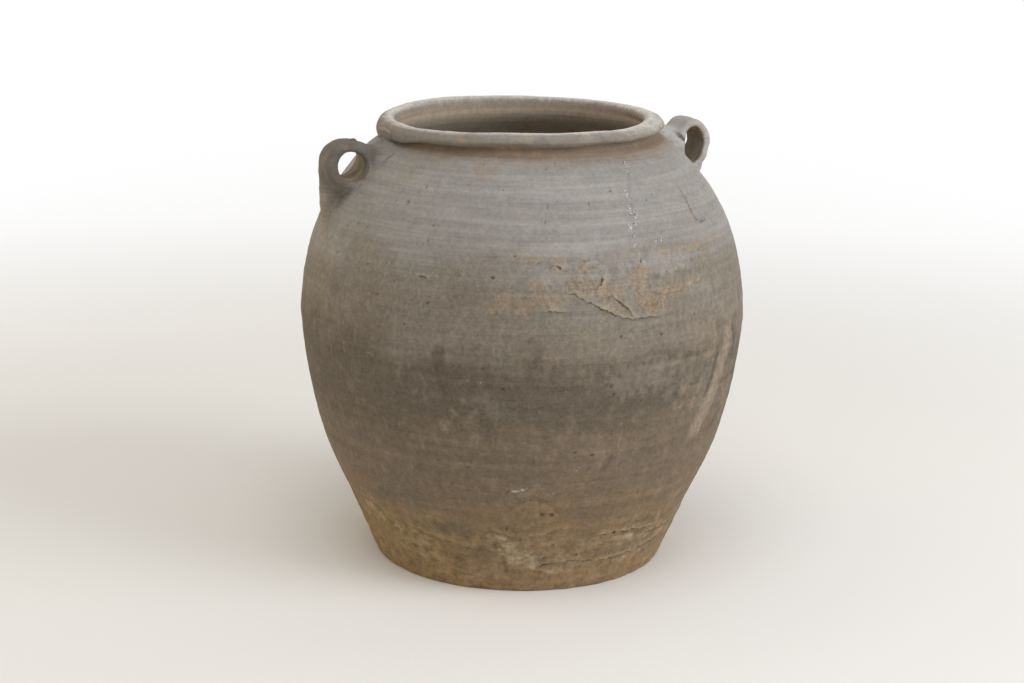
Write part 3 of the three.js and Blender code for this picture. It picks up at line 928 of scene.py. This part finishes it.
for name, node, bearing, shape in (
    ("left_ear", "left_lug", LEFT_BEARING, left_shape),
    ("right_ear", "right_lug", RIGHT_BEARING, right_shape),
):
    pieces[node] = lug(name, node, bearing, eye_centre(node + "_eye", bearing), shape)


# Materials
STREAK_RUN = 95


class Wire:
    """A socket of a material, with its maths written as Python."""

    def __init__(self, sheet, socket):
        self.sheet = sheet
        self.socket = socket

    def math(self, operation, first, second):
        return self.sheet.node("ShaderNodeMath", {"operation": operation}, {0: first, 1: second})

    def __add__(self, other):
        return self.math("ADD", self, other)

    def __radd__(self, other):
        return self.math("ADD", other, self)

    def __sub__(self, other):
        return self.math("SUBTRACT", self, other)

    def __rsub__(self, other):
        return self.math("SUBTRACT", other, self)

    def __mul__(self, other):
        return self.math("MULTIPLY", self, other)

    def __rmul__(self, other):
        return self.math("MULTIPLY", other, self)

    def swing(self, amount):
        """Noise of 0 to 1 made to swing about zero by an amount."""
        return (self - 0.5) * amount


class Sheet:
    """The nodes of one material, or of the world."""

    def __init__(self, owner, shader="Principled BSDF"):
        owner.use_nodes = True
        self.owner = owner
        self.tree = owner.node_tree
        self.shader = self.tree.nodes[shader]
        self.place = self.node("ShaderNodeTexCoord", output="Object")
        self.height = self.along("Z")

    def node(self, kind, settings=None, sockets=None, output=0):
        made = self.tree.nodes.new(kind)
        for name, value in (settings or {}).items():
            setattr(made, name, value)
        for key, value in (sockets or {}).items():
            self.feed(made.inputs[key], value)
        return Wire(self, made.outputs[output])

    def feed(self, socket, value):
        if isinstance(value, Wire):
            self.tree.links.new(value.socket, socket)
        else:
            socket.default_value = value

    def fill(self, values):
        """Feeds the shader's inputs by name."""
        for name, value in values.items():
            self.feed(self.shader.inputs[name], value)

    def along(self, axis):
        """Millimetres along an axis."""
        return self.node("ShaderNodeSeparateXYZ", {}, {0: self.place}, axis) * (1 / MM)

    def field(self, name):
        return self.node("ShaderNodeAttribute", {"attribute_name": name}, {}, "Fac")

    def spread(self, scale, shift):
        """The place, scaled and shifted for a texture."""
        sockets = {0: self.place, 1: scale, 2: shift}
        return self.node("ShaderNodeVectorMath", {"operation": "MULTIPLY_ADD"}, sockets)

    def cloud(self, size, detail=2.0, squash=(1, 1, 1), seed=0.0):
        """Noise about 0 to 1, with lumps of a size in millimetres, drawn out by squash."""
        where = self.spread(tuple(s / (size * MM) for s in squash), (seed, seed * 1.7, seed * 0.6))
        sockets = {"Vector": where, "Scale": 1.0, "Detail": detail}
        return self.node("ShaderNodeTexNoise", {"noise_dimensions": "3D"}, sockets)

    def lines(self, rise, seed, detail=2.0):
        """Streaks that run round the jar, a rise in millimetres apart."""
        return self.cloud(rise, detail, (rise / STREAK_RUN, rise / STREAK_RUN, 1), seed)

    def ease(self, value, low, high):
        sockets = {"Value": value, "From Min": low, "From Max": high}
        return self.node("ShaderNodeMapRange", {"interpolation_type": "SMOOTHSTEP"}, sockets)

    def frayed(self, name, fray, low, high):
        """A field of the mesh with its edges frayed by noise."""
        return self.ease(self.field(name) + fray, low, high)

    def mix(self, first, second, share):
        return self.node("ShaderNodeMix", {"data_type": "RGBA"}, {0: share, 6: first, 7: second}, 2)

    def specks(self, size, reach, rarity, seed, ragged):
        """Small ragged specks in cells of a size, where the cell's own draw is over the rarity."""
        where = self.spread((1 / (size * MM),) * 3, (seed, seed * 0.4, seed * 1.3))
        cells = {"Vector": where, "Scale": 1.0}
        gap = self.node("ShaderNodeTexVoronoi", {"feature": "F1"}, cells, "Distance")
        gap = gap + ragged.swing(reach * 1.6)
        draw = self.node("ShaderNodeTexVoronoi", {}, cells, "Color")
        lot = self.node("ShaderNodeSeparateXYZ", {}, {0: draw}, "X")
        return self.ease(gap, reach * 1.3, reach * 0.7) * self.ease(lot, rarity, rarity + 0.02)

    def whitened(self, white, share, output):
        """Shows a share of plain white to the rays that look, and the plain shader to the rest."""
        kinds = ("Is Camera Ray", "Is Glossy Ray", "Is Transmission Ray")
        rays = [self.node("ShaderNodeLightPath", output=kind) for kind in kinds]
        seen = (rays[0] + rays[1] + rays[2]) * share
        glow = self.node(white, {}, {"Color": rgb(1, 1, 1), "Strength": 1.0})
        plain = Wire(self, self.shader.outputs[0])
        mixed = self.node("ShaderNodeMixShader", {}, {0: seen, 1: plain, 2: glow})
        self.feed(self.tree.nodes[output].inputs["Surface"], mixed)


def rgb(red, green, blue):
    return (red, green, blue, 1.0)


GREY_CLAY = rgb(0.284, 0.265, 0.240)
PALE_GREY = rgb(0.370, 0.355, 0.335)
# Pale of worn clay, also the painted highlight along the lip's crest
WORN_AND_LIT_PALE = rgb(0.670, 0.626, 0.563)
BROWN_GREY = rgb(0.210, 0.176, 0.137)
SMOKE = rgb(0.128, 0.102, 0.073)
SOOT = rgb(0.130, 0.124, 0.115)
LOW_BROWN = rgb(0.178, 0.133, 0.088)
FOOT_BROWN = rgb(0.236, 0.158, 0.084)
FOOT_EDGE = rgb(0.340, 0.222, 0.116)
ROOT_GREY = rgb(0.190, 0.180, 0.166)
PALE_EARTH = rgb(0.420, 0.332, 0.215)
# Tan of the painted warm light on the foot's left side
WARM_LIGHT_TAN = rgb(0.262, 0.172, 0.052)
BARE_CLAY = rgb(0.325, 0.255, 0.180)
RUST_CLAY = rgb(0.370, 0.235, 0.125)
GROOVE_BROWN = rgb(0.228, 0.158, 0.100)
INNER_BROWN = rgb(0.430, 0.342, 0.262)
# Paler inside clay laid lower down: painted light against the shade deep in the jar
INNER_PAINTED_LIGHT = rgb(0.555, 0.482, 0.385)
CRACK_BROWN = rgb(0.105, 0.074, 0.048)
GRIME = rgb(0.060, 0.044, 0.031)
SALT = rgb(0.660, 0.650, 0.630)


class Clay(Sheet):
    """A material of clay, with its colour and shade so far and the noises that its marks share."""

    def __init__(self, name):
        """The fired skin all over the jar: grey above, a smoked belt below the belly and a brown foot."""
        super().__init__(bpy.data.materials.new(name))
        broad = self.cloud(75, 3, seed=3.1)
        patchy = self.cloud(24, 4, seed=7.7)
        self.mottled = self.cloud(8, 4, seed=12.4)
        self.fine = self.cloud(2.6, 3, seed=17.9)
        self.grain = self.cloud(0.9, 2, seed=4.2)
        wipes = self.cloud(5, 3, (1, 1, 0.25), seed=52.0)
        bands = self.lines(16, 21.3, 4)
        self.streaks = self.lines(4.6, 33.8, 4)
        self.hairs = self.lines(1.5, 45.1, 3)
        level = self.height + broad.swing(80) + bands.swing(30) + patchy.swing(40)
        self.upper = upper = self.ease(level, 196, 254)
        self.colour = self.mix(FOOT_BROWN, LOW_BROWN, self.ease(level, 36, 88))
        self.lay(SMOKE, self.ease(level, 100, 138))
        self.lay(BROWN_GREY, self.ease(level, 152, 186))
        self.lay(GREY_CLAY, upper)
        self.lay(SMOKE, self.ease(patchy + self.mottled.swing(0.9), 0.54, 0.72) * (0.4 - upper * 0.3))
        self.lay(BARE_CLAY, self.ease(self.mottled + wipes.swing(0.6), 0.54, 0.78) * (0.18 - upper * 0.08))
        self.lay(PALE_GREY, self.ease(self.streaks + bands.swing(0.6), 0.50, 0.78) * upper * 0.24)
        self.lay(BARE_CLAY, self.ease(self.hairs + bands.swing(0.5), 0.56, 0.74) * upper * 0.18)
        lower = 1 - upper
        turned = (self.streaks.swing(0.45) + self.hairs.swing(0.55)) * (0.5 + upper * 0.3)
        blotched = self.mottled.swing(0.36) + self.fine.swing(0.42 + lower * 0.3) + wipes.swing(lower) * 0.3
        self.shade = 1 + turned + blotched + self.grain.swing(0.42 + lower * 0.25)

    def lay(self, tone, share):
        """Lays a share of a tone over the colour so far."""
        self.colour = self.mix(self.colour, tone, share)

    def finished(self, roughness, bump):
        """Feeds the shader: colour times shade, roughness and a bump height in millimetres."""
        sockets = {0: self.colour, "Scale": self.shade}
        tone = self.node("ShaderNodeVectorMath", {"operation": "SCALE"}, sockets)
        normal = self.node("ShaderNodeBump", {}, {"Strength": 1.0, "Distance": MM, "Height": bump})
        self.fill({"Base Color": tone, "Roughness": roughness, "Specular IOR Level": 0.35, "Normal": normal})
        return self.owner


def rubs(clay):
    """Rubbed and scratched lines."""
    rub = clay.cloud(2.4, 3, (1, 1, 0.3), seed=70.0)
    dark = clay.frayed("dark_rub", rub.swing(0.8), 0.15, 0.75)
    clay.lay(BARE_CLAY, clay.frayed("pale_rub", rub.swing(1.2), 0.15, 1.05) * 0.8)
    clay.lay(SMOKE, dark * 0.6)
    clay.lay(GRIME, dark * 0.35)
    clay.lay(GROOVE_BROWN, clay.field("brown_rub") * 0.85)
    clay.lay(SALT, clay.field("white_rub") * 0.6)


def marked(clay):
    """Lays the marks of the wall over its tone, and returns their bump."""
    grain, fine, mottled = clay.grain, clay.fine, clay.mottled
    crumbs = clay.cloud(1.4, 4, seed=61.0)
    clear = clay.mix(BROWN_GREY, GREY_CLAY, clay.ease(clay.height, 180, 214))
    clay.lay(clear, clay.frayed("clear", mottled.swing(0.8), 0.1, 0.9) * 0.75)
    clay.lay(SMOKE, clay.frayed("smoke", mottled.swing(0.8), 0.1, 0.9) * 0.55)
    rusty = clay.mix(BARE_CLAY, RUST_CLAY, clay.ease(clay.cloud(6, 3, seed=66.0), 0.50, 0.64) * 0.8)
    scraped = clay.frayed("bare", mottled.swing(0.9) + crumbs.swing(0.9), 0.15, 1.0)
    clay.lay(rusty, scraped * 0.73)
    bare = clay.field("bare")
    rough = clay.ease(bare, 0.4, 0.9)
    clay.lay(PALE_EARTH, clay.ease(crumbs, 0.56, 0.70) * rough * 0.4)
    clay.lay(GROOVE_BROWN, clay.ease(crumbs, 0.44, 0.30) * rough * 0.55)
    rubs(clay)
    worn = clay.frayed("worn", crumbs.swing(0.5) + mottled.swing(0.6), 0.2, 0.6)
    clay.lay(clay.mix(FOOT_BROWN, GROOVE_BROWN, clay.ease(mottled, 0.45, 0.6)), worn * 0.35)
    salt = clay.frayed("salt", fine.swing(0.9), 0.15, 0.65)
    crystals = clay.specks(1.05, 0.44, 0.36, 5.0, grain) * salt
    clay.lay(GRIME, clay.specks(1.4, 0.40, 0.50, 6.0, grain) * salt * 0.7)
    clay.lay(GRIME, clay.frayed("salt_run", fine.swing(1.0), 0.2, 0.9) * 0.12)
    clay.lay(SALT, crystals * 0.8)
    dark = clay.specks(6, 0.085, 0.66, 14.0, fine)
    clay.lay(PALE_EARTH, clay.specks(7, 0.075, 0.72, 9.0, fine) * 0.6)
    clay.lay(GRIME, dark * 0.55)
    clay.lay(BARE_CLAY, clay.field("rim") * 0.35)
    split = clay.frayed("split", crumbs.swing(0.9) + mottled.swing(0.9), 0.6, 0.1)
    clay.lay(CRACK_BROWN, split * 0.85)
    clay.lay(CRACK_BROWN, clay.ease(clay.field("pit"), 0.3, 0.9) * 0.65)
    # Painted shade in the skin's hollows, and the scraped clay a little darker
    clay.shade = clay.shade - clay.field("hollow_shade") * 0.25 - scraped * 0.12
    bump = grain * 0.08 + fine * 0.09 + clay.hairs * 0.09 + clay.streaks * 0.08 + crumbs * bare * 0.7
    return bump + crystals * 0.3 - split * 0.3 - dark * 0.25


def foot_stain(clay):
    """Earth dried onto the foot and the lowest part of the belly, and a painted warm light on the foot's
    left side; returns the streaks in it.
    """
    edge = clay.cloud(16, 4, seed=81.0)
    streaky = clay.cloud(6, 5, (0.5, 0.5, 1), seed=84.0)
    foot = clay.ease(clay.height + edge.swing(50), 62, 40)
    clay.lay(SMOKE, clay.ease(streaky + edge.swing(0.9), 0.50, 0.70) * foot * 0.5)
    clay.lay(BARE_CLAY, clay.ease(streaky + edge.swing(0.7), 0.46, 0.30) * foot * 0.3)
    clay.lay(FOOT_EDGE, clay.ease(clay.height + edge.swing(24), 36, 12) * 0.5)
    pale = clay.field("earthy") * 1.2 + streaky.swing(1.8) + clay.mottled.swing(1.1)
    clay.lay(PALE_EARTH, clay.ease(pale, 0.3, 1.2) * clay.ease(clay.height, 84, 56) * 0.6)
    # Painted warm light: the foot's left side is tinted tan, where warm light thrown up from below falls
    clay.lay(WARM_LIGHT_TAN, clay.ease(clay.along("X") + edge.swing(60), -45, -95) * foot * 0.35)
    clay.shade = clay.shade + streaky.swing(foot) * 0.7 + clay.mottled.swing(foot) * 0.5
    return streaky * foot


def neck_browning(clay):
    """Darker brown in the groove under the lip, thinning out on the shoulder, with rust in places."""
    edge = clay.cloud(10, 4, seed=91.0)
    outer = 1 - clay.field("inside")
    clay.lay(GROOVE_BROWN, clay.ease(clay.height + edge.swing(10), 277, 288) * outer * 0.55)
    clay.lay(GROOVE_BROWN, clay.ease(clay.height + edge.swing(5), 283, 286) * outer * 0.6)
    fray = clay.streaks.swing(1.2) + clay.mottled.swing(0.7)
    clay.lay(RUST_CLAY, clay.frayed("rust", fray, 0.25, 1.0) * 0.5)


def inner_tone(clay):
    """Inside, the clay is a warmer brown with pale scored lines, and is painted paler lower down: painted
    light that lifts the shade deep in the jar.
    """
    lines = clay.ease(clay.hairs + clay.streaks.swing(0.6), 0.54, 0.72)
    # Painted paler deeper inside: painted light
    brown = clay.mix(INNER_BROWN, INNER_PAINTED_LIGHT, clay.ease(clay.height, 291, 272))
    clay.lay(clay.mix(brown, PALE_EARTH, lines * 0.4), clay.field("inside") * 0.85)


def wall_clay(name):
    """Belly and shoulder: one skin, so that the seam between them doesn't show."""
    clay = Clay(name)
    foot_stain(clay)
    neck_browning(clay)
    bump = marked(clay)
    inner_tone(clay)
    return clay.finished(0.84 - clay.upper * 0.14, bump)


def foot_clay():
    """Foot and floor, caked with earth."""
    clay = Clay("foot clay")
    caked = foot_stain(clay)
    bump = marked(clay)
    inner_tone(clay)
    return clay.finished(0.86, bump + caked * 0.35)


def neck_clay():
    """The groove under the lip."""
    clay = Clay("neck clay")
    neck_browning(clay)
    inner_tone(clay)
    # Painted shade in the skin's hollows
    clay.shade = clay.shade - clay.field("hollow_shade") * 0.1
    return clay.finished(0.86, clay.grain * 0.12 + clay.fine * 0.12 + clay.hairs * 0.14)


def lip_clay():
    """The lip is painted pale along its crest, partly wear and partly painted highlight, and is darker
    below, with rust in places.
    """
    clay = Clay("lip clay")
    edge = clay.cloud(12, 4, seed=101.0)
    clay.lay(BARE_CLAY, clay.ease(edge + clay.mottled.swing(0.5), 0.42, 0.58) * 0.5)
    clay.lay(BROWN_GREY, clay.ease(clay.height + edge.swing(8), 299.5, 294.5) * 0.85)
    clay.lay(RUST_CLAY, clay.frayed("rust", clay.mottled.swing(1.1), 0.25, 0.95) * 0.45)
    inner_tone(clay)
    # Pale crest and right end of the lip: partly wear, partly painted highlight
    clay.lay(WORN_AND_LIT_PALE, clay.frayed("crest", edge.swing(0.5) + clay.fine.swing(0.4), 0.1, 1.0) * 0.85)
    clay.lay(SALT, clay.ease(clay.field("salt"), 0.4, 0.8) * 0.8)
    clay.lay(CRACK_BROWN, clay.ease(clay.field("pit"), 0.3, 0.9) * 0.65)
    # Painted shade in the skin's hollows
    clay.shade = clay.shade - clay.field("hollow_shade") * 0.2
    return clay.finished(0.78, clay.grain * 0.12 + clay.fine * 0.14 + clay.hairs * 0.06)


def lug_clay(name, smoked, paled, tanned, grimed):
    """Lugs are smeared by hand, sooty or pale where they stand off the wall and rusty in the eye."""
    clay = Clay(name)
    edge = clay.cloud(11, 4, seed=111.0)
    standing = clay.field("standing") + edge.swing(0.9)
    sooty = clay.mix(SMOKE, SOOT, clay.ease(clay.cloud(15, 3, seed=113.0), 0.46, 0.64))
    above = clay.ease(clay.height + edge.swing(10), 248, 264)
    clay.lay(PALE_GREY, clay.ease(standing, 0.05, 0.7) * paled)
    clay.lay(WORN_AND_LIT_PALE, clay.ease(standing, 0.4, 0.9) * paled * 0.2)
    clay.lay(ROOT_GREY, clay.ease(standing, 0.04, 0.35) * above * smoked * 0.7)
    # Below the ring the soot thins and bare clay is laid on: partly the paler clay there, partly painted
    # light that lifts the shade under the ring
    clay.lay(sooty, clay.ease(standing, 0.25, 0.95) * (above * 0.92 + 0.08) * smoked)
    clay.lay(BARE_CLAY, clay.ease(standing, 0.1, 0.5) * (1 - above) * smoked * 0.65)
    clay.lay(BARE_CLAY, clay.ease(standing, 0.25, -0.05) * 0.35)
    lined = clay.frayed("lining", edge.swing(0.6), 0.2, 0.7)
    clay.lay(PALE_EARTH, lined * tanned)
    clay.lay(CRACK_BROWN, lined * grimed)
    clay.lay(RUST_CLAY, lined * clay.ease(clay.height, 277, 286) * 0.8)
    # Painted shade: a dark line round the edge of the eye
    clay.lay(CRACK_BROWN, clay.frayed("eye_brim_shade", edge.swing(0.8), 0.25, 0.9) * 0.6)
    clay.lay(CRACK_BROWN, clay.ease(standing, 0.0, 0.06) * clay.ease(standing, 0.2, 0.1) * 0.2)
    clay.lay(RUST_CLAY, clay.ease(clay.cloud(9, 3, seed=117.0), 0.60, 0.70) * 0.2)
    clay.lay(GRIME, clay.specks(6, 0.09, 0.66, 41.0, clay.fine) * 0.5)
    return clay.finished(0.76, clay.grain * 0.12 + clay.fine * 0.12 + clay.cloud(4, 3, seed=121.0) * 0.35)


earthy_foot = foot_clay()
finishes = {
    "base_slab": ("foot_clay", earthy_foot), "foot_wall": ("foot_clay", earthy_foot),
    "lower_wall": ("belly_clay", wall_clay("belly clay")),
    "shoulder_wall": ("shoulder_clay", wall_clay("shoulder clay")),
    "neck_collar": ("neck_clay", neck_clay()),
    "rim_roll": ("lip_clay", lip_clay()),
    "left_lug": ("lug_clay", lug_clay("left lug clay", 0.9, 0.0, 0.75, 0.0)),
    "right_lug": ("lug_clay", lug_clay("right lug clay", 0.06, 0.9, 0.45, 0.45)),
}
for node, piece in pieces.items():
    slot, material = finishes[node]
    piece.data.materials.append(material)
    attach(piece, "root")
    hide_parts(node)


# Floor that sweeps up into a backdrop behind the jar, of pale paper that is plain white far from the jar
VIEW_TURN = math.radians(-22)
SWEEP_NEAR, SWEEP_BEND, SWEEP_RADIUS, SWEEP_TOP, SWEEP_WIDTH = -2.6, 1.1, 0.6, 2.6, 3.4
SWEEP_STEPS = 16
PAPER = rgb(0.900, 0.875, 0.835)
PAPER_NEAR, PAPER_FAR = 0.35, 1.5


def paper():
    """Pale paper that keeps the jar's shadow."""
    sheet = Sheet(bpy.data.materials.new("pale paper"))
    sheet.fill({"Base Color": PAPER, "Roughness": 0.9, "Specular IOR Level": 0.1})
    away = sheet.node("ShaderNodeVectorMath", {"operation": "LENGTH"}, {0: sheet.place}, "Value")
    sheet.whitened("ShaderNodeEmission", sheet.ease(away, PAPER_NEAR, PAPER_FAR), "Material Output")
    return sheet.owner


def sweep():
    line = [(SWEEP_NEAR, 0), (SWEEP_BEND, 0)]
    for step in range(1, SWEEP_STEPS + 1):
        angle = step / SWEEP_STEPS * math.pi / 2
        line.append((SWEEP_BEND + SWEEP_RADIUS * math.sin(angle), SWEEP_RADIUS * (1 - math.cos(angle))))
    line.append((SWEEP_BEND + SWEEP_RADIUS, SWEEP_TOP))
    across = Vector((math.cos(VIEW_TURN), math.sin(VIEW_TURN), 0)) * SWEEP_WIDTH
    back = Vector((-math.sin(VIEW_TURN), math.cos(VIEW_TURN), 0))
    points = [back * y + Vector((0, 0, z)) + across * side for y, z in line for side in (-1, 1)]
    faces = [(2 * k, 2 * k + 1, 2 * k + 3, 2 * k + 2) for k in range(len(line) - 1)]
    mesh = bpy.data.meshes.new("sweep")
    mesh.from_pydata(points, [], faces)
    mesh.polygons.foreach_set("use_smooth", [True] * len(faces))
    floor = stood("sweep", mesh)
    mesh.materials.append(paper())


sweep()


# Light: a large soft lamp to the right, one above in front, a warm one low on the left, and an even sky
def soft_lamp(name, place, aim, size, power, colour):
    lamp = bpy.data.lights.new(name, "AREA")
    lamp.shape = "DISK"
    lamp.size = size
    lamp.energy = power
    lamp.color = colour
    holder = stood(name, lamp)
    turned = Matrix.Rotation(VIEW_TURN, 4, "Z")
    place, aim = turned @ Vector(place), turned @ Vector(aim)
    holder.location = place
    holder.rotation_euler = (aim - place).to_track_quat("-Z", "Y").to_euler()


soft_lamp("window", (1.7, -0.75, 1.05), (0, 0, 0.16), 1.4, 21.7, (0.935, 0.965, 1.0))
soft_lamp("overhead", (-0.1, -0.9, 2.0), (0, 0, 0.2), 1.6, 11.5, (0.985, 0.985, 0.985))
soft_lamp("bounce", (-1.7, 0.3, 0.45), (0, 0, 0.1), 1.6, 6.6, (1.0, 0.80, 0.45))

bpy.context.scene.world = bpy.data.worlds.new("sky")
sky = Sheet(bpy.context.scene.world, "Background")
sky.fill({"Color": rgb(0.96, 0.96, 0.96), "Strength": 0.49})
sky.whitened("ShaderNodeBackground", 1.0, "World Output")

# Camera as the jar was seen, fitted to its outline
CAMERA_AWAY = 1.31517
CAMERA_HEIGHT = 0.47832
CAMERA_PITCH, CAMERA_YAW, CAMERA_ROLL = (math.radians(a) for a in (14.281, -0.272, 1.088))
FOCAL_PIXELS, FRAME_WIDTH, SENSOR = 1979.8, 1024, 36.0
CLIP_NEAR, CLIP_FAR = 0.05, 50


def camera():
    lens = bpy.data.cameras.new("camera")
    lens.sensor_fit = "HORIZONTAL"
    lens.sensor_width = SENSOR
    lens.lens = FOCAL_PIXELS / FRAME_WIDTH * SENSOR
    lens.clip_start, lens.clip_end = CLIP_NEAR, CLIP_FAR
    forward = Vector((math.sin(CAMERA_YAW), math.cos(CAMERA_YAW), 0))
    ahead = forward * math.cos(CAMERA_PITCH) - Vector((0, 0, math.sin(CAMERA_PITCH)))
    level = Vector((math.cos(CAMERA_YAW), -math.sin(CAMERA_YAW), 0))
    above = level.cross(ahead)
    right = math.cos(CAMERA_ROLL) * level + math.sin(CAMERA_ROLL) * above
    up = -math.sin(CAMERA_ROLL) * level + math.cos(CAMERA_ROLL) * above
    axes = Matrix((right, up, -ahead)).transposed().to_4x4()
    place = Matrix.Translation(Vector((0, -CAMERA_AWAY, CAMERA_HEIGHT)))
    holder = stood("camera", lens)
    holder.matrix_world = Matrix.Rotation(VIEW_TURN, 4, "Z") @ place @ axes
    bpy.context.scene.camera = holder


camera()
bpy.context.scene.view_settings.view_transform = "Standard"

bpy.context.view_layer.update()
